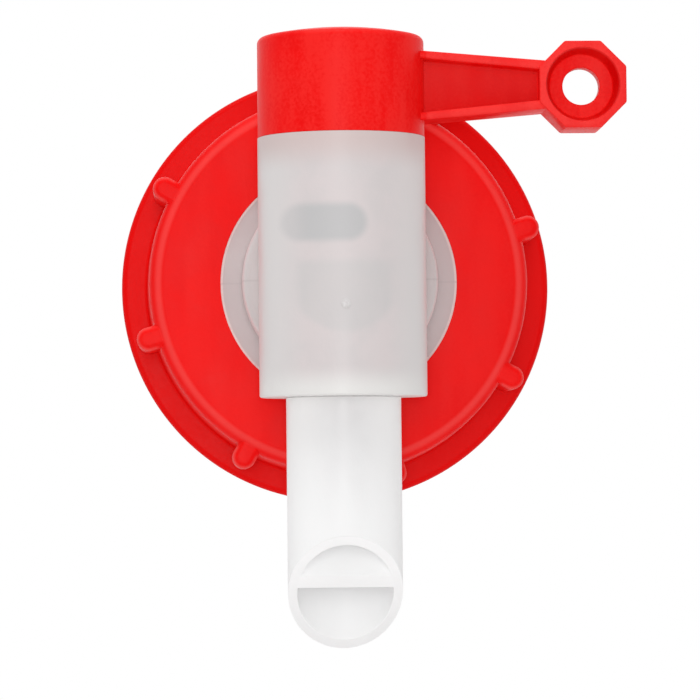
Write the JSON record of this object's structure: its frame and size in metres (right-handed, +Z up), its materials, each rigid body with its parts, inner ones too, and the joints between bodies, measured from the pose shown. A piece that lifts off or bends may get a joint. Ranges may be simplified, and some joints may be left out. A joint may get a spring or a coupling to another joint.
{
  "type": "jug spigot",
  "caption": "Screw-on tap for a water jug: red lugged cap, free-turning translucent barrel with slanted air-vented spout, and a red quarter-turn lever handle with an eye.",
  "frame": {"origin": "outer end of the cap's internal thread, on the thread's axis", "axes": "+Y along the thread axis out of the cap's mouth towards the jug, +Z up along the barrel, +X along the lever when shut"},
  "size_m": [0.0819, 0.047, 0.1],
  "materials": {
    "red_plastic": "fine mould texture, satin",
    "natural_plastic": "translucent, satin",
    "white_plastic": "slightly translucent, satin",
    "pale_rubber": "matte silicone",
    "grey_rubber": "matte"
  },
  "bodies": {
    "cap": {"screw_cap": "red_plastic"},
    "tap": {"tap_body": "natural_plastic", "spout": "white_plastic", "swivel_ring": "natural_plastic", "cap_gasket": "grey_rubber"},
    "valve": {"valve_plug": "white_plastic", "upper_o_ring": "pale_rubber", "lower_o_ring": "pale_rubber", "lever_handle": "red_plastic"}
  },
  "joints": [
    {"name": "body_swivel", "type": "hinge", "parent": "cap", "child": "tap", "pos_m": [0, 0, 0], "axis": [0, 1, 0], "continuous": true},
    {"name": "lever_turn", "type": "hinge", "parent": "tap", "child": "valve", "pos_m": [0, -0.0321, 0], "axis": [0, 0, -1], "range_deg": [0, 90]}
  ]
}
